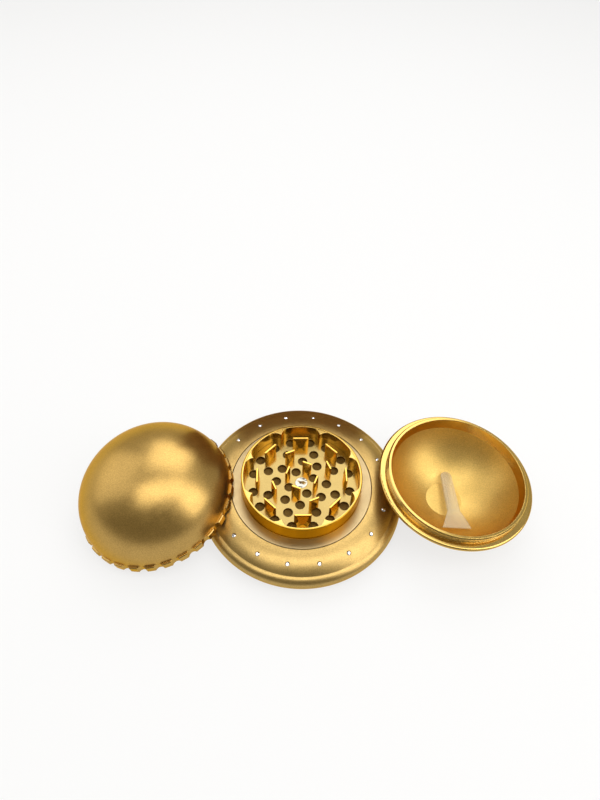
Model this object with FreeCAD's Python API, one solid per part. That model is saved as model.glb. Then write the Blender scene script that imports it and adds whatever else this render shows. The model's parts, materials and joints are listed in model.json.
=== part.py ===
"""Saucer-shaped hand grinder, taken apart on a table.

The main body stands in the middle: a saucer with a beaded rim and a ring of
crystals, the toothed grinding chamber in its centre, and a sieve underneath.
The domed lid leans on the saucer at the left. The collecting bowl leans
against the beaded rim at the right, with a scraper lying in it.

Lengths are in millimetres and angles in degrees. The origin is on the main
body's axis, on the table. Z points up and X runs from the lid to the bowl.
"""
import FreeCAD, Part
import math
import os

# Grinding chamber: rings of teeth counted outward from the centre
inner_tooth_ring = 6.5
tooth_ring_pitch = 6.35
outer_pocket = 6.0
pocket_corner = 4.0
pocket_half_angle = 12.8
lobe_count = 8
lobe_wall = 0.95
rim_step = 0.3
rim_chamfer = 0.2
chamber_depth = 7.0
plate_thickness = 1.4
plate_shelf = 0.6

# Blade-like teeth, each a pointed oval in plan with planed flanks and a bevelled ridge
outer_tooth_width = 7.2
middle_tooth_width = 4.6
inner_tooth_width = 4.2
inner_tooth_count = 4
tooth_thickness = 2.2
tooth_shoulder = 1.15
tooth_ridge = 0.6
tooth_bevel = 0.45
tooth_tip_gap = 0.3

# Holes through the chamber floor
hole_radius = 2.08
outer_hole_inset = 3.76
outer_hole_spread = 12.15
middle_hole_offset = 2.85
inner_hole_inset = 1.85
inner_hole_spread = 26.75
centre_hole_inset = 0.68

# Chamber seat, sieve and bowl socket under the chamber
chamber_rim_height = 20.7
seat_height = 7.95
seat_groove = 0.25
collar_width = 4.6
collar_rise = 0.25
collar_thickness = 2.0
plug_wall = 2.05
plug_depth = 3.5
screen_thickness = 0.3
screen_ring_height = 1.5
screen_ring_width = 0.85
socket_step = 2.2
socket_end_gap = 1.2
fit_gap = 0.05

# Saucer
saucer_width = 13.9
saucer_groove = 0.3
saucer_edge_rise = 0.05
crown_fall = 0.85
bead_radius = 3.5
bead_height = 6.45
crease_angle = 86.0

# Crystals set in a ring on the saucer
crystal_count = 18
crystal_offset = 6.55
crystal_radius = 0.88
crystal_table_radius = 0.52
crystal_crown = 0.35
crystal_depth = 0.7
crystal_sides = 8

# Magnets that hold the lid down
magnet_radius = 2.6
magnet_thickness = 1.0

# Lid
lid_clearance = 0.3
skirt_wall = 6.75
lid_height = 29.7
dome_wall = 3.0
lug_count = 30
lug_proud = 1.0
lug_height = 3.0
lug_chamfer = 0.3
lug_notch_radius = 2.1
lug_notch_offset = 1.0
tooth_plate_thickness = 3.0
tooth_plate_shoulder = 2.5
glide_ring_width = 2.2
glide_ring_thickness = 1.0
glide_gap = 0.1
lid_floor_gap = 1.2
lid_outer_tooth_width = 4.6
lid_inner_tooth_width = 3.8
lid_outer_tooth_count = 8
lid_inner_tooth_count = 4
post_radius = 3.3

# Bowl
thread_clearance = 0.25
neck_height = 3.2
neck_wall = 1.55
neck_lead = 0.45
neck_edge = 0.15
shoulder_width = 3.0
shoulder_roll = 0.9
shoulder_end_angle = -40.0
bowl_height = 23.8
bowl_base_radius = 9.5
bowl_belly = 2.2
bowl_wall = 2.2
bowl_floor = 1.8
bowl_flat_radius = 8.2
lip_taper = 0.85
lip_depth = 4.9

# Scraper
scraper_length = 30.4
scraper_thickness = 1.3
scraper_round = 0.35
scraper_handle_width = 5.0
scraper_waist_width = 5.6
scraper_blade_width = 12.5
scraper_blade_length = 8.5
scraper_bevel = 5.0
scraper_edge = 0.5
scraper_rim = 1.0
scraper_recess = 0.35
scraper_tip_reach = 12.8
scraper_offset = 1.6

# Layout on the table
rest_gap = 0.3
lid_stand_off = 3.2
lid_azimuth = 182.6
bowl_lean = 3.8
bowl_azimuth = -2.2
steepest_lean = 45.0

# Length by which a cut runs past the face it opens, and the closeness at which two points are one
cut_margin = 1.0
same_point = 1e-7

# Fineness of the search for where each loose piece comes to rest
search_steps = 40
contact_points = 80

# Sizes that follow from the ones above
middle_tooth_ring = inner_tooth_ring + tooth_ring_pitch
outer_tooth_ring = middle_tooth_ring + tooth_ring_pitch
lid_inner_tooth_ring = inner_tooth_ring + tooth_ring_pitch / 2
lid_outer_tooth_ring = middle_tooth_ring + tooth_ring_pitch / 2
cusp_radius = outer_tooth_ring + tooth_thickness
lobe_radius = outer_tooth_ring + outer_pocket
chamber_radius = lobe_radius + lobe_wall
outer_hole_ring = lobe_radius - outer_hole_inset
middle_hole_ring = middle_tooth_ring + middle_hole_offset
inner_hole_ring = middle_tooth_ring - inner_hole_inset
centre_hole_ring = inner_tooth_ring - centre_hole_inset
floor_height = chamber_rim_height - chamber_depth
plate_bottom = floor_height - plate_thickness
tooth_height = chamber_depth - tooth_tip_gap
collar_height = chamber_rim_height - seat_height
collar_edge_height = collar_height + collar_rise
collar_inner_radius = chamber_radius + seat_groove
collar_radius = chamber_radius + collar_width
collar_bottom = collar_height - collar_thickness
plug_radius = chamber_radius + plug_wall
plug_bore = plug_radius + fit_gap
plug_bottom = collar_bottom - plug_depth
screen_bore = lobe_radius - plate_shelf
screen_radius = screen_bore - fit_gap
screen_bottom = plate_bottom - screen_thickness
socket_depth = neck_height + socket_end_gap
socket_radius = plug_bore + socket_step
neck_radius = socket_radius - thread_clearance
shoulder_radius = neck_radius + shoulder_width
saucer_radius = collar_radius + saucer_width
saucer_edge_radius = collar_radius + saucer_groove
saucer_edge_height = collar_edge_height + saucer_edge_rise
crystal_ring = collar_radius + crystal_offset
bead_ring = saucer_radius - bead_radius
skirt_bore = chamber_radius + lid_clearance
dome_radius = skirt_bore + skirt_wall
lug_radius = dome_radius + lug_proud
glide_space = glide_ring_thickness + 2 * glide_gap
lid_recess = chamber_rim_height - saucer_edge_height + glide_space
lid_tooth_length = chamber_depth + glide_space - lid_floor_gap
lid_tip = lid_recess - lid_tooth_length
sector = 360.0 / lobe_count
half_sector = sector / 2

ORIGIN = FreeCAD.Vector(0, 0, 0)
UP = FreeCAD.Vector(0, 0, 1)
ALONG = FreeCAD.Vector(1, 0, 0)
ACROSS = FreeCAD.Vector(0, 1, 0)


def section_point(r, z):
    return FreeCAD.Vector(r, 0, z)


def section(start, *steps):
    """Closed face in the XZ plane. A step is a corner, or an arc as (through, end)."""
    edges = []
    here = section_point(*start)
    for step in steps + (start,):
        curved = isinstance(step[0], tuple)
        end = section_point(*(step[1] if curved else step))
        if end.isEqual(here, same_point):
            continue
        if curved:
            edges.append(Part.Arc(here, section_point(*step[0]), end).toShape())
        else:
            edges.append(Part.makeLine(here, end))
        here = end
    return Part.Face(Part.Wire(edges))


def circle_through(first, second, third):
    return Part.Arc(section_point(*first), section_point(*second), section_point(*third)).toShape().Curve


def turned(face):
    return face.revolve(ORIGIN, UP, 360)


def disc(radius, bottom, top):
    return Part.makeCylinder(radius, top - bottom, section_point(0, bottom))


def ring(inner, outer, bottom, top):
    return disc(outer, bottom, top).cut(disc(inner, bottom - cut_margin, top + cut_margin))


def at_angle(shape, angle):
    copy = shape.copy()
    copy.rotate(ORIGIN, UP, angle)
    return copy


def around(shape, angles):
    return [at_angle(shape, angle) for angle in angles]


def evenly(count, first=0.0):
    return [first + 360.0 / count * step for step in range(count)]


def polar(radius, angle, z=0.0):
    turn = math.radians(angle)
    return FreeCAD.Vector(radius * math.cos(turn), radius * math.sin(turn), z)


def on_circle(centre, radius, angle):
    turn = math.radians(angle)
    return (centre[0] + radius * math.cos(turn), centre[1] + radius * math.sin(turn))


def lens(width, thickness, radius):
    """Pointed oval face across the X axis, its middle at the given radius."""
    left = FreeCAD.Vector(radius, -width / 2, 0)
    right = FreeCAD.Vector(radius, width / 2, 0)
    outside = FreeCAD.Vector(radius + thickness / 2, 0, 0)
    inside = FreeCAD.Vector(radius - thickness / 2, 0, 0)
    arcs = [Part.Arc(left, outside, right).toShape(), Part.Arc(right, inside, left).toShape()]
    return Part.Face(Part.Wire(arcs))


def tooth(width, radius, height):
    """Blade standing on z = 0: flanks planed to a shoulder, and bevelled there to a narrow ridge."""
    shoulder_height = height - tooth_bevel
    blade = lens(width, tooth_thickness, radius).extrude(UP * height)
    flanks = section(
        (radius - tooth_thickness / 2, 0), (radius + tooth_thickness / 2, 0),
        (radius + tooth_shoulder / 2, shoulder_height), (radius + tooth_ridge / 2, height),
        (radius - tooth_ridge / 2, height), (radius - tooth_shoulder / 2, shoulder_height))
    flanks.translate(ACROSS * -width)
    return blade.common(flanks.extrude(ACROSS * 2 * width))


def standing_teeth(width, radius, angles):
    """Teeth on the chamber floor."""
    blade = tooth(width, radius, tooth_height)
    blade.translate(UP * floor_height)
    return Part.makeCompound(around(blade, angles))


def hanging_teeth(width, radius, angles):
    """Teeth under the lid's tooth plate."""
    blade = tooth(width, radius, lid_tooth_length).mirror(ORIGIN, UP)
    blade.translate(UP * lid_recess)
    return Part.makeCompound(around(blade, angles))


# Saucer outline: the foot, the cone that runs tangent into the bead, the bead and the crown

bead_centre = (bead_ring, bead_height)
foot_radius = shoulder_radius
foot_distance = math.hypot(bead_ring - foot_radius, bead_height)
foot_slope = math.atan2(bead_height, bead_ring - foot_radius) - math.asin(bead_radius / foot_distance)
bead_start = on_circle(bead_centre, bead_radius, math.degrees(foot_slope) - 90)
bead_end = on_circle(bead_centre, bead_radius, crease_angle)
bead_outermost = (saucer_radius, bead_height)
crown_start = (saucer_edge_radius, saucer_edge_height)
crown_middle = (crystal_ring, saucer_edge_height - crown_fall)
crown_circle = circle_through(bead_end, crown_middle, crown_start)

saucer_section = section(
    (socket_radius, 0), (foot_radius, 0), bead_start, (bead_outermost, bead_end), (crown_middle, crown_start),
    (saucer_edge_radius, collar_bottom), (plug_bore, collar_bottom), (plug_bore, socket_depth),
    (socket_radius, socket_depth))


def crystal_seat():
    """Placement of the crystal on the X axis: on the crown's surface, along its normal."""
    tilt = math.degrees(math.asin((crystal_ring - crown_circle.Center.x) / crown_circle.Radius))
    return FreeCAD.Placement(section_point(*crown_middle), FreeCAD.Rotation(ACROSS, tilt))


def crystal():
    """Faceted stone: a straight base below the girdle and a bevelled crown above it."""
    def facet_ring(radius, z):
        corners = [polar(radius, angle, z) for angle in evenly(crystal_sides)]
        return Part.makePolygon(corners + corners[:1])

    base = Part.Face(facet_ring(crystal_radius, -crystal_depth)).extrude(UP * crystal_depth)
    girdle = facet_ring(crystal_radius, 0)
    table = facet_ring(crystal_table_radius, crystal_crown)
    crown = Part.makeLoft([girdle, table], True, True)
    stone = base.fuse(crown).removeSplitter()
    stone.Placement = crystal_seat()
    return stone


crystal_angles = evenly(crystal_count)


def saucer():
    seat = disc(crystal_radius + fit_gap, -crystal_depth, cut_margin)
    seat.Placement = crystal_seat().multiply(seat.Placement)
    return turned(saucer_section).cut(Part.makeCompound(around(seat, crystal_angles)))


# Chamber: the lobed wall with its collar, the perforated floor and the teeth


def lobe():
    """One pocket of the chamber wall, with rounded corners, on the X axis."""
    corner_ring = lobe_radius - pocket_corner
    height = chamber_depth + cut_margin
    first = polar(lobe_radius, -pocket_half_angle)
    last = polar(lobe_radius, pocket_half_angle)
    edges = [Part.Arc(first, polar(lobe_radius, 0), last).toShape(), Part.makeLine(last, ORIGIN),
             Part.makeLine(ORIGIN, first)]
    pocket = Part.Face(Part.Wire(edges)).extrude(UP * height)
    for angle in (-pocket_half_angle, pocket_half_angle):
        pocket = pocket.fuse(Part.makeCylinder(pocket_corner, height, polar(corner_ring, angle)))
    return pocket


def chamber_wall():
    groove_bottom = collar_height - seat_groove
    outside = turned(section(
        (0, plug_bottom), (plug_radius, plug_bottom), (plug_radius, collar_bottom),
        (collar_radius, collar_bottom), (collar_radius, collar_edge_height),
        (collar_inner_radius, collar_height), (collar_inner_radius, groove_bottom),
        (chamber_radius, groove_bottom), (chamber_radius, chamber_rim_height - rim_chamfer),
        (chamber_radius - rim_chamfer, chamber_rim_height), (0, chamber_rim_height)))
    cavity = disc(cusp_radius, 0, chamber_depth + cut_margin)
    cavity = cavity.multiFuse(around(lobe(), evenly(lobe_count)))
    cavity.translate(UP * floor_height)
    bore = disc(screen_bore, plug_bottom - cut_margin, plate_bottom)
    seat = disc(lobe_radius, plate_bottom, floor_height)
    inside_rim = disc(lobe_radius, chamber_rim_height - rim_step, chamber_rim_height + cut_margin)
    return outside.cut(cavity).cut(bore).cut(seat).cut(inside_rim).removeSplitter()


middle_tooth_angles = evenly(inner_tooth_count, half_sector)
inner_tooth_angles = evenly(inner_tooth_count, half_sector + sector)


def pairs(angles, spread):
    return [angle + side * spread for angle in angles for side in (-1, 1)]


def grinding_plate():
    lobe_pairs = pairs(evenly(lobe_count), outer_hole_spread)
    tooth_pairs = pairs(middle_tooth_angles, inner_hole_spread)
    patterns = [(outer_hole_ring, lobe_pairs), (middle_hole_ring, evenly(lobe_count, half_sector)),
                (inner_hole_ring, tooth_pairs), (centre_hole_ring, middle_tooth_angles)]
    drill = disc(hole_radius, plate_bottom - cut_margin, floor_height + cut_margin)
    holes = [drill.translated(polar(radius, angle)) for radius, angles in patterns for angle in angles]
    pocket = disc(magnet_radius + fit_gap, floor_height - magnet_thickness, floor_height + cut_margin)
    plate = disc(lobe_radius - fit_gap, plate_bottom, floor_height)
    return plate.cut(Part.makeCompound(holes)).cut(pocket)


# Lid, built upright with its rim on z = 0


def dome(radius, base, top):
    """Half of an ellipsoid, from its widest circle up to its apex."""
    quarter = Part.BezierCurve()
    quarter.setPoles([section_point(radius, base), section_point(radius, top), section_point(0, top)])
    quarter.setWeight(2, math.sqrt(0.5))
    edges = [quarter.toShape(), Part.makeLine(section_point(0, top), section_point(0, base)),
             Part.makeLine(section_point(0, base), section_point(radius, base))]
    return turned(Part.Face(Part.Wire(edges)))


def lid_dome():
    plate_seat = lid_recess + tooth_plate_thickness
    skirt = turned(section(
        (0, 0), (lug_radius, 0), (lug_radius, lug_height - lug_chamfer),
        (lug_radius - lug_chamfer, lug_height), (0, lug_height)))
    notch = disc(lug_notch_radius, -cut_margin, lug_height)
    notch.translate(ALONG * (lug_radius + lug_notch_offset))
    lugs = skirt.cut(Part.makeCompound(around(notch, evenly(lug_count))))
    hollow = dome(dome_radius - dome_wall, lug_height, lid_height - dome_wall)
    hollow = hollow.common(disc(skirt_bore - tooth_plate_shoulder, plate_seat, lid_height))
    shell = lugs.fuse(dome(dome_radius, lug_height, lid_height))
    return shell.cut(hollow).cut(disc(skirt_bore, -cut_margin, plate_seat)).removeSplitter()


def lid_tooth_plate():
    plate = disc(skirt_bore - fit_gap, lid_recess, lid_recess + tooth_plate_thickness)
    post = disc(post_radius, lid_tip, lid_recess)
    pocket = disc(magnet_radius + fit_gap, lid_tip - cut_margin, lid_tip + magnet_thickness)
    return plate.fuse(post).cut(pocket).removeSplitter()


# Bowl, built upright with its base on z = 0


neck_foot = bowl_height - neck_height
shoulder_centre = (shoulder_radius - shoulder_roll, neck_foot - shoulder_roll)
shoulder_outermost = (shoulder_radius, shoulder_centre[1])
shoulder_top = (shoulder_centre[0], neck_foot)
belly_start = on_circle(shoulder_centre, shoulder_roll, shoulder_end_angle)
belly_end = (bowl_base_radius, 0)
neck_bore = neck_radius - neck_wall
inside_start = (neck_bore - lip_taper, bowl_height - lip_depth)
inside_end = (bowl_flat_radius, bowl_floor)


def bulged(start, end, depth):
    """Middle of an arc from start to end that bulges outward and down by the depth."""
    run = (end[0] - start[0], end[1] - start[1])
    length = math.hypot(*run)
    middle = ((start[0] + end[0]) / 2, (start[1] + end[1]) / 2)
    return (middle[0] - run[1] / length * depth, middle[1] + run[0] / length * depth)


belly_middle = bulged(belly_start, belly_end, bowl_belly)
inside_middle = bulged(belly_start, belly_end, bowl_belly - bowl_wall)
inside_circle = circle_through(inside_start, inside_middle, inside_end)

bowl_section = section(
    (0, 0), belly_end, (belly_middle, belly_start), (shoulder_outermost, shoulder_top),
    (neck_radius, neck_foot), (neck_radius, bowl_height - neck_lead), (neck_radius - neck_lead, bowl_height),
    (neck_bore + neck_edge, bowl_height), (neck_bore, bowl_height - neck_edge),
    inside_start, (inside_middle, inside_end), (0, bowl_floor))


def inside_height(radius):
    """Height of the bowl's inner surface above its base."""
    if radius <= bowl_flat_radius:
        return bowl_floor
    centre = inside_circle.Center
    return centre.z - math.sqrt(inside_circle.Radius ** 2 - (radius - centre.x) ** 2)


def scraper_handle(half_width, top, bottom):
    """Strip along the Y axis with a round end at the top and another at the bottom."""
    right = FreeCAD.Vector(half_width, top - half_width, 0)
    low_right = FreeCAD.Vector(half_width, bottom + half_width, 0)
    left = FreeCAD.Vector(-half_width, top - half_width, 0)
    low_left = FreeCAD.Vector(-half_width, bottom + half_width, 0)
    edges = [Part.Arc(right, ACROSS * top, left).toShape(), Part.makeLine(left, low_left),
             Part.Arc(low_left, ACROSS * bottom, low_right).toShape(), Part.makeLine(low_right, right)]
    return Part.Face(Part.Wire(edges))


def scraper():
    """Round-ended handle with a raised rim that flares into a bevelled blade, lying in the bowl."""
    handle = scraper_handle_width / 2
    waist = scraper_waist_width / 2
    blade = scraper_blade_width / 2
    edge_y = scraper_tip_reach - scraper_length
    waist_y = edge_y + scraper_blade_length
    corners = [(handle, scraper_tip_reach - handle), (waist, waist_y), (blade, edge_y)]
    right = [FreeCAD.Vector(x, y, 0) for x, y in corners]
    left = [FreeCAD.Vector(-x, y, 0) for x, y in corners]
    path = right + left[::-1]
    edges = [Part.makeLine(a, b) for a, b in zip(path, path[1:])]
    edges.append(Part.Arc(left[0], ACROSS * scraper_tip_reach, right[0]).toShape())
    flat = Part.Face(Part.Wire(edges))
    plate = flat.extrude(UP * scraper_thickness)
    top_edges = [edge for edge in plate.Edges if edge.BoundBox.ZMin > scraper_thickness / 2]
    plate = plate.makeFillet(scraper_round, top_edges)

    low = FreeCAD.Vector(-blade, edge_y, scraper_edge)
    high = FreeCAD.Vector(-blade, edge_y, scraper_thickness)
    back = FreeCAD.Vector(-blade, edge_y + scraper_bevel, scraper_thickness)
    bevel = Part.Face(Part.makePolygon([low, high, back, low])).extrude(ALONG * scraper_blade_width)
    recess = scraper_handle(handle - scraper_rim, scraper_tip_reach - scraper_rim, waist_y)
    recess = recess.extrude(UP * scraper_thickness)
    recess.translate(UP * (scraper_thickness - scraper_recess))
    plate = plate.cut(bevel).cut(recess)

    tip_contact = inside_height(math.hypot(scraper_offset, scraper_tip_reach))
    edge_contact = inside_height(math.hypot(scraper_offset + blade, edge_y))
    slope = math.degrees(math.atan2(edge_contact - tip_contact, scraper_length))
    pitch = FreeCAD.Rotation(ALONG, -slope)
    lying = FreeCAD.Placement(FreeCAD.Vector(scraper_offset, 0, 0), pitch)
    plate.Placement = lying
    flat.Placement = lying
    feet = [vertex.Point for vertex in flat.Vertexes] + flat.Wires[0].discretize(contact_points)
    lift = max(inside_height(math.hypot(foot.x, foot.y)) - foot.z for foot in feet)
    plate.translate(UP * (lift + rest_gap))
    return plate


# Layout: the lid leans from the table onto the saucer, the bowl leans against the beaded rim


def whole_section(half):
    return Part.makeCompound([half, half.mirror(ORIGIN, ALONG)])


def lid_placement(lean):
    reach = chamber_radius + lid_stand_off + lug_radius * math.cos(math.radians(lean))
    height = lug_radius * math.sin(math.radians(lean))
    return FreeCAD.Placement(section_point(reach, height), FreeCAD.Rotation(ACROSS, lean))


def bowl_placement(reach):
    height = bowl_base_radius * math.sin(math.radians(bowl_lean))
    return FreeCAD.Placement(section_point(reach, height), FreeCAD.Rotation(ACROSS, bowl_lean))


def first_clear(gap_at, low, high):
    """Smallest setting at which the gap reaches the rest gap."""
    for _ in range(search_steps):
        middle = (low + high) / 2
        if gap_at(middle) < rest_gap:
            low = middle
        else:
            high = middle
    return high


def place_section(half, placement):
    placed = whole_section(half)
    placed.Placement = placement
    return placed


crystal_table = [crystal_seat().multVec(section_point(side * crystal_table_radius, crystal_crown))
                 for side in (-1, 1)]
main_section = Part.makeCompound([saucer_section, Part.makeLine(*crystal_table)])
skirt_section = section((skirt_bore, 0), (lug_radius, 0), (lug_radius, lug_height), (skirt_bore, lug_height))


def lid_gap(lean):
    return main_section.distToShape(place_section(skirt_section, lid_placement(lean)))[0]


def bowl_gap(reach):
    return main_section.distToShape(place_section(bowl_section, bowl_placement(reach)))[0]


lid_lean = first_clear(lid_gap, 0.0, steepest_lean)
bowl_reach = first_clear(bowl_gap, saucer_radius, saucer_radius + 2 * shoulder_radius)


def turned_to(azimuth, placement):
    return FreeCAD.Placement(ORIGIN, FreeCAD.Rotation(UP, azimuth)).multiply(placement)


lid_place = turned_to(lid_azimuth, lid_placement(lid_lean))
bowl_place = turned_to(bowl_azimuth, bowl_placement(bowl_reach))


def placed(shape, placement):
    shape.Placement = placement.multiply(shape.Placement)
    return shape


main_pieces = {
    "saucer": saucer(),
    "chamber_wall": chamber_wall(),
    "grinding_plate": grinding_plate(),
    "chamber_teeth_outer": standing_teeth(outer_tooth_width, outer_tooth_ring, evenly(lobe_count)),
    "chamber_teeth_middle": standing_teeth(middle_tooth_width, middle_tooth_ring, middle_tooth_angles),
    "chamber_teeth_inner": standing_teeth(inner_tooth_width, inner_tooth_ring, inner_tooth_angles),
    "chamber_magnet": disc(magnet_radius, floor_height - magnet_thickness, floor_height),
    "sieve_screen": disc(screen_radius, screen_bottom, plate_bottom),
    "screen_ring": ring(screen_radius - screen_ring_width, screen_radius, screen_bottom - screen_ring_height,
                        screen_bottom),
}
for number, angle in enumerate(crystal_angles, start=1):
    main_pieces[f"crystal_{number:02d}"] = at_angle(crystal(), angle)

lid_pieces = {
    "lid_dome": lid_dome(),
    "lid_tooth_plate": lid_tooth_plate(),
    "lid_teeth_outer": hanging_teeth(lid_outer_tooth_width, lid_outer_tooth_ring,
                                     evenly(lid_outer_tooth_count)),
    "lid_teeth_inner": hanging_teeth(lid_inner_tooth_width, lid_inner_tooth_ring,
                                     evenly(lid_inner_tooth_count)),
    "lid_magnet": disc(magnet_radius, lid_tip, lid_tip + magnet_thickness),
    "lid_glide_ring": ring(skirt_bore - glide_gap - glide_ring_width, skirt_bore - glide_gap,
                           lid_recess - glide_gap - glide_ring_thickness, lid_recess - glide_gap),
}

bowl_pieces = {
    "bowl": turned(bowl_section),
    "scraper": scraper(),
}

groups = [(main_pieces, FreeCAD.Placement()), (lid_pieces, lid_place), (bowl_pieces, bowl_place)]
os.makedirs("parts", exist_ok=True)
for pieces, placement in groups:
    for name, shape in pieces.items():
        placed(shape, placement).exportStep(f"parts/{name}.step")

print("lid leans", round(lid_lean, 3), "at", lid_place.Base, "axis", lid_place.Rotation.multVec(UP))
print("bowl leans", bowl_lean, "at", bowl_place.Base, "axis", bowl_place.Rotation.multVec(UP))
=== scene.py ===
"""Looks of the saucer-shaped hand grinder: finishes, screw threads, studio and camera.

Lengths are in metres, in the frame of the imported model: Z up, the main body on
the Z axis, the lid to the left and the bowl to the right. Angles are in degrees
and colours in linear light.
"""
import json
import math
import bmesh
import bpy
from mathutils import Matrix, Vector


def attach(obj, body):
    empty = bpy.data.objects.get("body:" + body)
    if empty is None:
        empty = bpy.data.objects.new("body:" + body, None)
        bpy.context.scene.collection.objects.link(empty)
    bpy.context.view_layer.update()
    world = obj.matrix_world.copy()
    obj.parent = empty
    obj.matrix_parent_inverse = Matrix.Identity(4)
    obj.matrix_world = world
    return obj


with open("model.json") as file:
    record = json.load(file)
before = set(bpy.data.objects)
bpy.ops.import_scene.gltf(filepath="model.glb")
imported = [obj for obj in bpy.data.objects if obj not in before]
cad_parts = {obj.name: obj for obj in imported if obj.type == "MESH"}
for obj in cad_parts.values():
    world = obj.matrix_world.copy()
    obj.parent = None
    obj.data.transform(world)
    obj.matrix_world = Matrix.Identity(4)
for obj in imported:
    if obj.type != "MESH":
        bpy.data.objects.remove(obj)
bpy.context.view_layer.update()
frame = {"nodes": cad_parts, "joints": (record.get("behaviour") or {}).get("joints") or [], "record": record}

MM = 0.001
UP = Vector((0, 0, 1))
TINY = 1e-6

# Camera, as a phone held over the front edge of the table
PHOTO_WIDTH = 600
PHOTO_HEIGHT = 800
FOCAL_PIXELS = 590.72
SENSOR_LONG_SIDE = 36.0
CAMERA_PLACE = Vector((-9.60, -133.66, 238.66)) * MM
CAMERA_HEADING = 3.2
CAMERA_PITCH = 51.27
CAMERA_ROLL = 2.41
CLIP_START = 10 * MM

# Studio: the floor, the card behind the body, and the room, which goes from its front to its
# back colour between two values of the Y part of the direction
FLOOR_RADIUS = 3.0
FLOOR_SEGMENTS = 96
FLOOR_DROP = 0.02 * MM
FLOOR_COLOUR = (0.18, 0.18, 0.18, 1)
FLOOR_GLOW = 0.74
CARD_WIDTH = 90 * MM
CARD_HEIGHT = 75 * MM
CARD_PLACE = Vector((2, 60, 0)) * MM
CARD_COLOUR = (0.38, 0.21, 0.06, 1)
MATT = 0.9
ROOM_FRONT = (0.26, 0.24, 0.19)
ROOM_BACK = (0.52, 0.50, 0.44)
ROOM_FRONT_END = -0.6
ROOM_BACK_START = 0.5
LIGHT_DISTANCE = 0.7

# Anodised golds: one gold, painted lighter on some pieces and darker on others for the light that falls on
# each, and the collar is nearly bare
GOLD = (0.48, 0.305, 0.092)
# Paler than the lid's gold: painted highlight, as the saucer shows mostly its bright side
GOLD_SAUCER_PAINTED_HIGHLIGHT = (0.475, 0.318, 0.108)
# Deep amber: painted reflection of the gold that the outside of the wall mirrors
GOLD_WALL_PAINTED_REFLECTION = (0.42, 0.232, 0.020)
# Darker than the lid's gold, painted shade on the chamber floor, and paler in hue, a painted highlight
GOLD_PLATE_PAINTED_SHADE = (0.32, 0.23, 0.08)
# Much brighter than the lid's gold: painted light on the teeth
GOLD_TOOTH_PAINTED_LIGHT = (0.82, 0.50, 0.10)
# Lighter than the lid's gold: painted light of the glow inside the bowl and the chamber, also used on the
# threads
GOLD_PALE_PAINTED_LIGHT = (0.61, 0.41, 0.118)
# The bowl's flat middle is painted lighter still
BOWL_FLAT_GAIN = 1.1
COLLAR_COLOUR = (0.425, 0.318, 0.165)
GRAZING_TINT = (1.0, 0.70, 0.28, 1)

# Clear sealed layer over the dye
COAT = 0.1
THIN_COAT = 0.05
SATIN_COAT_ROUGHNESS = 0.32
BRIGHT_COAT_ROUGHNESS = 0.16

# Roughness where it changes over one piece
DOME_ROUGHNESS = 0.32
LUG_ROUGHNESS = 0.18
WALL_ROUGHNESS = 0.20
COLLAR_ROUGHNESS = 0.34
BOWL_ROUGHNESS = 0.44
BOWL_FLAT_ROUGHNESS = 0.38
LIP_POLISH = 0.29
LIP_SATIN = 0.05

# Texture of the gold: scales are in noise cells to the metre
NOISE_LOW = 0.3
NOISE_HIGH = 0.7
CLOUD_SCALE = 90.0
CLOUD_SHADE = 0.94
SPECK_SCALE = 2400.0
SPECKLE = 0.13
UNEVEN_SCALE = 350.0
UNEVEN_LOW = -0.02
UNEVEN_HIGH = 0.03
GRAIN_SCALE = 2000.0
GRAIN_DEPTH = 0.006 * MM
LATHE_SCALE = 5000.0
LATHE_DEPTH = 0.004 * MM
EDGE_RADIUS = 0.2 * MM
EDGE_SAMPLES = 6

# Other materials: colours, and the scales of the sieve's wires and of the scraper's long scratches
NICKEL = (0.41, 0.39, 0.34, 1)
STONE_LIGHT = (0.86, 0.88, 0.92)
STONE_DARK = (0.70, 0.72, 0.78)
# Dark gold-brown wire: painted shade under the plate; near black between the wires: painted shade in the
# openings
WIRE = (0.30, 0.175, 0.035)
WIRE_GAP_PAINTED_SHADE = (0.05, 0.026, 0.004)
WIRE_SCALE = 1400.0
NYLON_LIGHT = (0.82, 0.80, 0.76)
NYLON_DARK = (0.74, 0.72, 0.67)
PLASTIC_LIGHT = (0.62, 0.53, 0.37)
PLASTIC_DARK = (0.57, 0.48, 0.32)
SCRATCH_SCALES = (9000.0, 700.0, 700.0)

# Places where a finish changes, on the chamber's rim and collar and on the bowl's lip and flat, and
# half the width of the change
BLEND = 0.1 * MM
RIM_INSET = 0.55 * MM
COLLAR_INSET = 0.15 * MM
COLLAR_RISE = 0.25 * MM
COLLAR_BLEND = 0.15 * MM
LIP_DEPTH = 4.9 * MM
BOWL_FLAT_RADIUS = 8.2 * MM

# Margins for finding faces in the section of a turned piece
FACE_MARGIN = 0.1 * MM
LUG_MARGIN = 0.5 * MM
STEP_MARGIN = 1 * MM

# Screw threads of the bowl's neck and of the socket under the saucer. The fade is the share of its
# length over which a thread rises to its full height, and the steps are those of one turn
THREAD_PITCH = 0.65 * MM
THREAD_HEIGHT = 0.16 * MM
THREAD_HALF_WIDTH = 0.25 * MM
THREAD_SINK = 0.02 * MM
THREAD_RUNOUT = 0.35 * MM
THREAD_FADE = 0.125
THREAD_STEPS = 144


# Measures taken from the frame

def joint_named(name):
    return next(joint for joint in frame["joints"] if joint["name"] == name)


def mount_named(name):
    return next(mount for mount in frame["record"]["mounts"] if mount["name"] == name)


def across(axis):
    """Two directions that make a right-handed frame with the axis."""
    side = axis.cross(UP)
    first = side.normalized() if side.length > TINY else Vector((1, 0, 0))
    return first, axis.cross(first)


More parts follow.
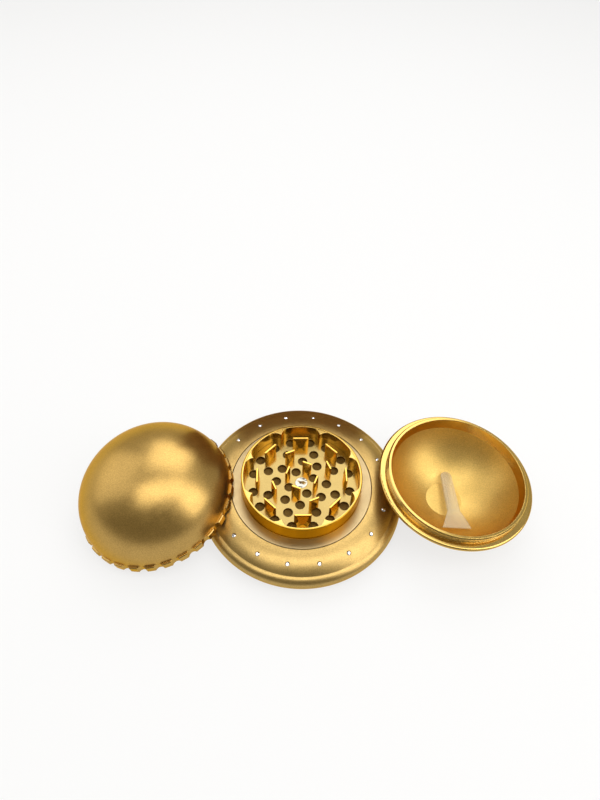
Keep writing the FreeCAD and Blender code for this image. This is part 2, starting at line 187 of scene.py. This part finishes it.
def own_frame(node, axis):
    """Matrix from a turned piece's own frame, standing on its base, to the model's frame."""
    axis = Vector(axis).normalized()
    first, second = across(axis)
    points = [vertex.co for vertex in frame["nodes"][node].data.vertices]

    def limits(direction):
        reach = [point.dot(direction) for point in points]
        return min(reach), max(reach)

    base = axis * limits(axis)[0]
    for direction in (first, second):
        low, high = limits(direction)
        base += direction * (low + high) / 2
    turn = Matrix((first, second, axis)).transposed().to_4x4()
    return Matrix.Translation(base) @ turn


def section(node, piece_frame):
    """Radius and height of each vertex of a turned piece, in its own frame."""
    to_own = piece_frame.inverted()
    places = [to_own @ vertex.co for vertex in frame["nodes"][node].data.vertices]
    return [(math.hypot(place.x, place.y), place.z) for place in places]


def widest(points, above=-math.inf):
    return max(radius for radius, height in points if height > above)


def highest(points, outside=0.0):
    return max(height for radius, height in points if radius > outside)


BODY_FRAME = Matrix.Identity(4)
LID_FRAME = own_frame("lid_dome", joint_named("lid_turn")["axis"])
BOWL_FRAME = own_frame("bowl", joint_named("bowl_lift")["axis"])

wall_section = section("chamber_wall", BODY_FRAME)
COLLAR_TOP = highest(wall_section, outside=widest(wall_section) - FACE_MARGIN)
WALL_RADIUS = widest(wall_section, above=COLLAR_TOP + STEP_MARGIN)

lid_section = section("lid_dome", LID_FRAME)
LUG_TOP = highest(lid_section, outside=widest(lid_section) - LUG_MARGIN)

bowl_section = section("bowl", BOWL_FRAME)
BOWL_TOP = highest(bowl_section)
NECK_RADIUS = widest(bowl_section, above=BOWL_TOP - STEP_MARGIN)
FLANGE_TOP = highest(bowl_section, outside=NECK_RADIUS + FACE_MARGIN)


# Node building

class Nodes:
    """Short calls that add and join the nodes of one material or world."""

    # Sockets of the Mix node that hold colours
    MIX_FIRST = 6
    MIX_SECOND = 7
    MIX_RESULT = 2

    def __init__(self, tree):
        self.tree = tree

    def join(self, value, socket):
        if isinstance(value, bpy.types.NodeSocket):
            self.tree.links.new(value, socket)
        else:
            socket.default_value = value

    def add(self, kind, inputs=None, **settings):
        node = self.tree.nodes.new(kind)
        for key, value in settings.items():
            setattr(node, key, value)
        for key, value in (inputs or {}).items():
            self.join(value, node.inputs[key])
        return node

    def math(self, operation, *values):
        node = self.add("ShaderNodeMath", operation=operation)
        for value, socket in zip(values, node.inputs):
            self.join(value, socket)
        return node.outputs[0]

    def vector(self, operation, *values):
        node = self.add("ShaderNodeVectorMath", operation=operation)
        for value, socket in zip(values, node.inputs):
            self.join(value, socket)
        return node.outputs["Value" if operation in ("DOT_PRODUCT", "LENGTH") else "Vector"]

    def scaled(self, vector, scale):
        """Vector or colour times a number."""
        node = self.add("ShaderNodeVectorMath", {"Scale": scale}, operation="SCALE")
        self.join(vector, node.inputs[0])
        return node.outputs["Vector"]

    def between(self, value, low, high, at_low, at_high):
        """Value mapped smoothly from one range to another, held at the ends."""
        node = self.add("ShaderNodeMapRange", {
            "Value": value, "From Min": low, "From Max": high, "To Min": at_low, "To Max": at_high,
        }, interpolation_type="SMOOTHSTEP")
        return node.outputs["Result"]

    def colours(self, share, first, second):
        """Mix of two colours: the first where the share is none, the second where it is all."""
        node = self.add("ShaderNodeMix", data_type="RGBA")
        self.join(share, node.inputs["Factor"])
        for colour, place in ((first, self.MIX_FIRST), (second, self.MIX_SECOND)):
            value = colour if isinstance(colour, bpy.types.NodeSocket) else (*colour, 1)
            self.join(value, node.inputs[place])
        return node.outputs[self.MIX_RESULT]


class Finish(Nodes):
    """Nodes of one material, with its shader and a place on the object at rest."""

    def __init__(self, name):
        self.material = bpy.data.materials.new(name)
        self.material.use_nodes = True
        super().__init__(self.material.node_tree)
        self.shader = self.tree.nodes["Principled BSDF"]
        self.place = self.add("ShaderNodeTexCoord").outputs["Object"]

    def set(self, **values):
        for key, value in values.items():
            self.join(value, self.shader.inputs[key.replace("_", " ")])

    def noise(self, scale, detail=2.0, place=None):
        place = self.place if place is None else place
        node = self.add("ShaderNodeTexNoise", {"Vector": place, "Scale": scale, "Detail": detail})
        return node.outputs["Fac"]

    def spread(self, noise, at_low, at_high):
        """A noise's usual range mapped to another."""
        return self.between(noise, NOISE_LOW, NOISE_HIGH, at_low, at_high)

    def step(self, value, place, before, after, half_width=BLEND):
        """One value before a place and another after it, with a short change between them."""
        return self.between(value, place - half_width, place + half_width, before, after)

    def mixed(self, share, without, whole):
        """A value that goes from one to another as a share goes from none to all."""
        return self.between(share, 0.0, 1.0, without, whole)

    def bump(self, height, depth, strength=1.0, normal=None):
        node = self.add("ShaderNodeBump", {"Height": height, "Distance": depth, "Strength": strength})
        if normal is not None:
            self.join(normal, node.inputs["Normal"])
        return node.outputs["Normal"]

    def turned_place(self, piece_frame):
        """Distance from a turned piece's axis, and height above its base."""
        axis = piece_frame.to_3x3() @ UP
        offset = self.vector("SUBTRACT", self.place, piece_frame.to_translation())
        height = self.vector("DOT_PRODUCT", offset, axis)
        radius = self.vector("LENGTH", self.vector("SUBTRACT", offset, self.scaled(axis, height)))
        return radius, height

    def rings(self, radius, height):
        """Fine lathe marks: noise that depends on the section only, so it runs round the axis."""
        place = self.add("ShaderNodeCombineXYZ", {"X": radius, "Y": height}).outputs["Vector"]
        return self.noise(LATHE_SCALE, detail=3.0, place=place)


# Anodised gold

def dyed(finish, colour, blasted):
    """Colour of the dyed metal: slightly cloudy and, where it is blasted, finely specked."""
    cloud = finish.spread(finish.noise(CLOUD_SCALE, detail=3.0), 1.0, CLOUD_SHADE)
    speck = finish.spread(finish.noise(SPECK_SCALE), -SPECKLE, SPECKLE)
    return finish.scaled(colour, finish.math("MULTIPLY_ADD", speck, blasted, cloud))


def worked(finish, radius, height, blasted, lathe):
    """Normal of the worked metal: eased edges, blasted grain and lathe marks round the axis."""
    eased = finish.add("ShaderNodeBevel", {"Radius": EDGE_RADIUS}, samples=EDGE_SAMPLES).outputs["Normal"]
    grain = finish.bump(finish.noise(GRAIN_SCALE, detail=3.0), GRAIN_DEPTH, blasted, eased)
    return finish.bump(finish.rings(radius, height), LATHE_DEPTH, lathe, grain)


def gold(name, piece_frame, roughness, colour=GOLD, satin=1.0, lathe=0.5,
         coat=COAT, coat_roughness=SATIN_COAT_ROUGHNESS):
    """Anodised gold on a turned piece.

    Roughness, colour and the satin share, which is how much of the blasted grain is left, are plain
    values or functions of the finish, the radius and the height.
    """
    finish = Finish(name)
    radius, height = finish.turned_place(piece_frame)

    def here(value):
        return value(finish, radius, height) if callable(value) else value

    blasted = here(satin)
    uneven = finish.spread(finish.noise(UNEVEN_SCALE, detail=4.0), UNEVEN_LOW, UNEVEN_HIGH)
    finish.set(Base_Color=dyed(finish, here(colour), blasted))
    finish.set(Roughness=finish.math("ADD", here(roughness), uneven))
    finish.set(Normal=worked(finish, radius, height, blasted, lathe))
    finish.set(Metallic=1.0, Specular_Tint=GRAZING_TINT)
    finish.set(Coat_Weight=coat, Coat_Roughness=coat_roughness)
    return finish.material


def bright_gold(name, piece_frame, roughness, colour=GOLD, **shares):
    """Gold that was polished after the blasting, under a glossy coat."""
    return gold(name, piece_frame, roughness, colour, coat_roughness=BRIGHT_COAT_ROUGHNESS, **shares)


# Finishes that change over one piece

def collar_share(finish, radius, height):
    """One on the collar round the wall's foot, zero on the wall."""
    outside = finish.step(radius, WALL_RADIUS + COLLAR_INSET, 0.0, 1.0)
    low = finish.step(height, COLLAR_TOP + COLLAR_RISE, 1.0, 0.0, COLLAR_BLEND)
    return finish.math("MULTIPLY", outside, low)


def wall_colour(finish, radius, height):
    """Painted light: pale inside and on the rim, a deep amber outside that paints the gold mirrored in the
    wall, and nearly bare on the collar.
    """
    inside = finish.step(radius, WALL_RADIUS - RIM_INSET, 1.0, 0.0)
    wall = finish.colours(inside, GOLD_WALL_PAINTED_REFLECTION, GOLD_PALE_PAINTED_LIGHT)
    return finish.colours(collar_share(finish, radius, height), wall, COLLAR_COLOUR)


def wall_roughness(finish, radius, height):
    """The collar is finely turned, the wall above it polished."""
    return finish.mixed(collar_share(finish, radius, height), WALL_ROUGHNESS, COLLAR_ROUGHNESS)


def lid_roughness(finish, radius, height):
    """The dome is blasted, the grip lugs are left bright."""
    return finish.step(height, LUG_TOP, LUG_ROUGHNESS, DOME_ROUGHNESS)


def bowl_lip_share(finish, height):
    return finish.step(height, BOWL_TOP - LIP_DEPTH, 0.0, 1.0)


def bowl_flat_share(finish, radius):
    return finish.step(radius, BOWL_FLAT_RADIUS, 1.0, 0.0)


def bowl_roughness(finish, radius, height):
    """Satin inside and out, a brighter flat in the middle, polished at the lip and neck."""
    satin = finish.mixed(bowl_flat_share(finish, radius), BOWL_ROUGHNESS, BOWL_FLAT_ROUGHNESS)
    polish = finish.math("MULTIPLY", bowl_lip_share(finish, height), LIP_POLISH)
    return finish.math("SUBTRACT", satin, polish)


def bowl_satin(finish, radius, height):
    return finish.mixed(bowl_lip_share(finish, height), 1.0, LIP_SATIN)


def bowl_colour(finish, radius, height):
    # Painted light: pale gold inside the bowl, lighter still on the flat in the middle
    flat = [part * BOWL_FLAT_GAIN for part in GOLD_PALE_PAINTED_LIGHT]
    return finish.colours(bowl_flat_share(finish, radius), GOLD_PALE_PAINTED_LIGHT, flat)


# Other materials

def nickel_material():
    """Nickel plate, wavy enough to break up what it mirrors."""
    finish = Finish("nickel")
    finish.set(Base_Color=NICKEL, Metallic=1.0)
    finish.set(Roughness=finish.spread(finish.noise(scale=900.0, detail=3.0), at_low=0.10, at_high=0.22))
    finish.set(Normal=finish.bump(finish.noise(scale=330.0, detail=0.0), depth=1.0 * MM))
    return finish.material


def crystal_material():
    """Clear stone over a silver foil: bright facets with a faint bluish cast."""
    finish = Finish("crystal")
    cloud = finish.noise(scale=2500.0)
    finish.set(Metallic=1.0, Coat_Weight=1.0, Coat_Roughness=0.02)
    finish.set(Base_Color=finish.colours(cloud, STONE_LIGHT, STONE_DARK))
    finish.set(Roughness=finish.spread(cloud, at_low=0.04, at_high=0.10))
    return finish.material


def mesh_material():
    """Woven steel wire, painted dark gold-brown as shade under the plate warmed by the gold round it, with
    painted shade in the openings between the wires.
    """
    finish = Finish("steel_mesh")

    def wave(way):
        inputs = {"Vector": finish.place, "Scale": WIRE_SCALE}
        return finish.add("ShaderNodeTexWave", inputs, bands_direction=way).outputs["Fac"]

    wires = finish.math("MAXIMUM", wave("X"), wave("Y"))
    wire_share = finish.between(wires, low=0.55, high=0.9, at_low=0.0, at_high=1.0)
    finish.set(Metallic=0.6, Base_Color=finish.colours(wire_share, WIRE_GAP_PAINTED_SHADE, WIRE))
    finish.set(Roughness=finish.between(wires, low=0.5, high=1.0, at_low=0.7, at_high=0.5))
    finish.set(Normal=finish.bump(wires, depth=0.1 * MM))
    return finish.material


def nylon_material():
    """Natural nylon with a fine moulded skin."""
    finish = Finish("nylon")
    haze = finish.noise(scale=600.0, detail=3.0)
    finish.set(Base_Color=finish.colours(haze, NYLON_LIGHT, NYLON_DARK), Subsurface_Weight=0.2)
    finish.set(Roughness=finish.spread(haze, at_low=0.40, at_high=0.52))
    finish.set(Normal=finish.bump(finish.noise(scale=3000.0), depth=0.01 * MM, strength=0.3))
    return finish.material


def scraper_material():
    """Milky moulded plastic, scratched in use: the metal under it glows through."""
    finish = Finish("scraper_plastic")
    haze = finish.noise(scale=260.0, detail=4.0)
    stretched = finish.vector("MULTIPLY", finish.place, SCRATCH_SCALES)
    scratches = finish.noise(scale=1.0, detail=3.0, place=stretched)
    finish.set(Base_Color=finish.colours(haze, PLASTIC_LIGHT, PLASTIC_DARK), Alpha=0.36)
    finish.set(Roughness=finish.spread(scratches, at_low=0.28, at_high=0.40))
    finish.set(Normal=finish.bump(scratches, depth=0.004 * MM, strength=0.3))
    return finish.material


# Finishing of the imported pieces

def finish_nodes(material, *nodes):
    """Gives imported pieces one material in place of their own."""
    for node in nodes:
        slots = frame["nodes"][node].data.materials
        slots.clear()
        slots.append(material)


def finish_main_body():
    saucer = gold(
        "gold_satin_saucer", BODY_FRAME, roughness=0.36, colour=GOLD_SAUCER_PAINTED_HIGHLIGHT, coat_roughness=0.34)
    ring = gold("gold_satin_ring", BODY_FRAME, roughness=0.30, coat_roughness=0.30)
    wall = bright_gold(
        "gold_turned_wall", BODY_FRAME, wall_roughness, wall_colour, satin=0.3, coat=THIN_COAT)
    plate = gold(
        "gold_bright_floor", BODY_FRAME, roughness=0.17, colour=GOLD_PLATE_PAINTED_SHADE, satin=0.4, coat_roughness=0.20)
    teeth = bright_gold(
        "gold_teeth", BODY_FRAME, roughness=0.17, colour=GOLD_TOOTH_PAINTED_LIGHT, satin=0.2, lathe=0.2, coat=THIN_COAT)
    finish_nodes(saucer, "saucer")
    finish_nodes(ring, "screen_ring")
    finish_nodes(wall, "chamber_wall")
    finish_nodes(plate, "grinding_plate")
    finish_nodes(teeth, "chamber_teeth_outer", "chamber_teeth_middle", "chamber_teeth_inner")
    finish_nodes(mesh_material(), "sieve_screen")
    finish_nodes(crystal_material(), *(node for node in frame["nodes"] if node.startswith("crystal_")))


def finish_lid():
    finish_nodes(gold("gold_satin_lid", LID_FRAME, lid_roughness), "lid_dome")
    inside = bright_gold("gold_lid_inside", LID_FRAME, roughness=0.16)
    finish_nodes(inside, "lid_tooth_plate", "lid_teeth_outer", "lid_teeth_inner")
    finish_nodes(nylon_material(), "lid_glide_ring")


def finish_bowl():
    bowl = gold("gold_satin_bowl", BOWL_FRAME, bowl_roughness, bowl_colour, bowl_satin, lathe=0.2)
    finish_nodes(bowl, "bowl")
    finish_nodes(scraper_material(), "scraper")


def finish_magnets():
    finish_nodes(nickel_material(), "chamber_magnet", "lid_magnet")


# Pieces made here

def add_object(name, mesh, material):
    data = bpy.data.meshes.new(name)
    mesh.to_mesh(data)
    mesh.free()
    data.materials.append(material)
    piece = bpy.data.objects.new(name, data)
    bpy.context.scene.collection.objects.link(piece)
    return piece


def ridge_rows(mesh, piece_frame, radius, bottom, top, outward):
    """Points along a helical ridge, three to a row: lower foot, crest and upper foot."""
    turns = (top - bottom) / THREAD_PITCH
    steps = int(turns * THREAD_STEPS)
    foot = radius - outward * THREAD_SINK
    rows = []
    for step in range(steps + 1):
        share = step / steps
        angle = 2 * math.pi * turns * share
        height = bottom + (top - bottom) * share
        growth = min(1.0, share / THREAD_FADE, (1 - share) / THREAD_FADE)
        crest = radius + outward * THREAD_HEIGHT * growth
        profile = ((foot, -THREAD_HALF_WIDTH), (crest, 0.0), (foot, THREAD_HALF_WIDTH))
        points = [
            Vector((out * math.cos(angle), out * math.sin(angle), height + rise)) for out, rise in profile
        ]
        rows.append([mesh.verts.new(piece_frame @ point) for point in points])
    return rows


def thread(name, body, piece_frame, radius, bottom, top, outward):
    """Helical ridge on a cylinder: pointed crest, fading in and out at its ends."""
    mesh = bmesh.new()
    rows = ridge_rows(mesh, piece_frame, radius, bottom, top, outward)
    for here, beyond in zip(rows, rows[1:]):
        for low, high in ((0, 1), (1, 2), (2, 0)):
            mesh.faces.new((here[low], beyond[low], beyond[high], here[high]))
    mesh.faces.new(rows[0])
    mesh.faces.new(reversed(rows[-1]))
    bmesh.ops.recalc_face_normals(mesh, faces=mesh.faces)
    # Pale gold with painted light, as on the bowl
    material = bright_gold(f"gold_{name}", piece_frame, roughness=0.16, colour=GOLD_PALE_PAINTED_LIGHT, satin=0.1)
    piece = add_object(name, mesh, material)
    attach(piece, body)


def make_threads():
    socket = mount_named("bowl_socket")["dims"]
    thread("neck_thread", "bowl", BOWL_FRAME, NECK_RADIUS,
           FLANGE_TOP + THREAD_RUNOUT, BOWL_TOP - 2 * THREAD_RUNOUT, 1)
    thread("socket_thread", "main_body", BODY_FRAME, socket["r_mm"] * MM,
           2 * THREAD_RUNOUT, socket["length_mm"] * MM - 2 * THREAD_RUNOUT, -1)


# Studio and camera

def matt_finish(name, colour):
    """Plain finish without gloss, for the stage."""
    finish = Finish(name)
    finish.set(Base_Color=colour, Roughness=MATT, Specular_IOR_Level=0.0)
    return finish


def make_floor():
    """Floor that is white to the camera and in the metal, and keeps the object's shadow."""
    finish = matt_finish("floor", FLOOR_COLOUR)
    rays = finish.add("ShaderNodeLightPath").outputs
    seen = finish.math("MAXIMUM", rays["Is Camera Ray"], rays["Is Glossy Ray"])
    seen = finish.math("MAXIMUM", seen, rays["Is Transmission Ray"])
    finish.set(Emission_Color=(1, 1, 1, 1), Emission_Strength=finish.math("MULTIPLY", seen, FLOOR_GLOW))
    mesh = bmesh.new()
    bmesh.ops.create_circle(mesh, cap_ends=True, segments=FLOOR_SEGMENTS, radius=FLOOR_RADIUS)
    floor = add_object("floor", mesh, finish.material)
    floor.location.z = -FLOOR_DROP


def make_card():
    """Brown card standing behind the body: it shows only in the metal, as a studio flag does."""
    mesh = bmesh.new()
    corners = [(-0.5, 0), (0.5, 0), (0.5, 1), (-0.5, 1)]
    mesh.faces.new([mesh.verts.new((x * CARD_WIDTH, 0, z * CARD_HEIGHT)) for x, z in corners])
    card = add_object("card", mesh, matt_finish("card", CARD_COLOUR).material)
    card.location = CARD_PLACE
    for kind in ("camera", "diffuse", "transmission", "shadow"):
        setattr(card, f"visible_{kind}", False)


def make_room():
    """Warm grey room, darker on the camera's side."""
    world = bpy.data.worlds.new("studio")
    world.use_nodes = True
    nodes = Nodes(world.node_tree)
    direction = nodes.add("ShaderNodeTexCoord").outputs["Generated"]
    back = nodes.add("ShaderNodeSeparateXYZ", {"Vector": direction}).outputs["Y"]
    back_share = nodes.between(back, ROOM_FRONT_END, ROOM_BACK_START, 0.0, 1.0)
    grey = nodes.colours(back_share, ROOM_FRONT, ROOM_BACK)
    nodes.join(grey, world.node_tree.nodes["Background"].inputs["Color"])
    bpy.context.scene.world = world


def softbox(name, azimuth, elevation, width, height, radiance):
    """Rectangular lamp facing the object. Azimuth 0 is behind it and 90 at its right."""
    turn = math.radians(azimuth)
    rise = math.radians(elevation)
    away = Vector((math.sin(turn) * math.cos(rise), math.cos(turn) * math.cos(rise), math.sin(rise)))
    data = bpy.data.lights.new(name, "AREA")
    data.shape = "RECTANGLE"
    data.size = width
    data.size_y = height
    data.energy = radiance * math.pi * width * height
    lamp = bpy.data.objects.new(name, data)
    lamp.location = away * LIGHT_DISTANCE
    lamp.rotation_euler = away.to_track_quat("Z", "Y").to_euler()
    lamp.visible_camera = False
    bpy.context.scene.collection.objects.link(lamp)


def make_studio():
    make_floor()
    make_card()
    make_room()
    softbox("top_light", azimuth=170, elevation=80, width=0.85, height=0.32, radiance=2.8)
    softbox("back_light", azimuth=6, elevation=52, width=0.60, height=0.54, radiance=2.3)
    softbox("right_light", azimuth=112, elevation=36, width=0.44, height=0.56, radiance=2.8)
    softbox("left_light", azimuth=-72, elevation=31, width=0.60, height=0.62, radiance=0.98)
    bpy.context.scene.view_settings.view_transform = "Standard"


def make_camera():
    heading = math.radians(CAMERA_HEADING)
    pitch = math.radians(CAMERA_PITCH)
    forward = Vector((
        math.sin(heading) * math.cos(pitch), math.cos(heading) * math.cos(pitch), -math.sin(pitch)))
    level = forward.cross(UP).normalized()
    right = Matrix.Rotation(-math.radians(CAMERA_ROLL), 3, forward) @ level
    up = right.cross(forward)
    turn = Matrix((right, up, -forward)).transposed().to_4x4()
    data = bpy.data.cameras.new("camera")
    data.sensor_width = SENSOR_LONG_SIDE
    data.lens = SENSOR_LONG_SIDE * FOCAL_PIXELS / max(PHOTO_WIDTH, PHOTO_HEIGHT)
    data.clip_start = CLIP_START
    camera = bpy.data.objects.new("camera", data)
    camera.matrix_world = Matrix.Translation(CAMERA_PLACE) @ turn
    bpy.context.scene.collection.objects.link(camera)
    bpy.context.scene.camera = camera


finish_main_body()
finish_lid()
finish_bowl()
finish_magnets()
make_threads()
make_studio()
make_camera()
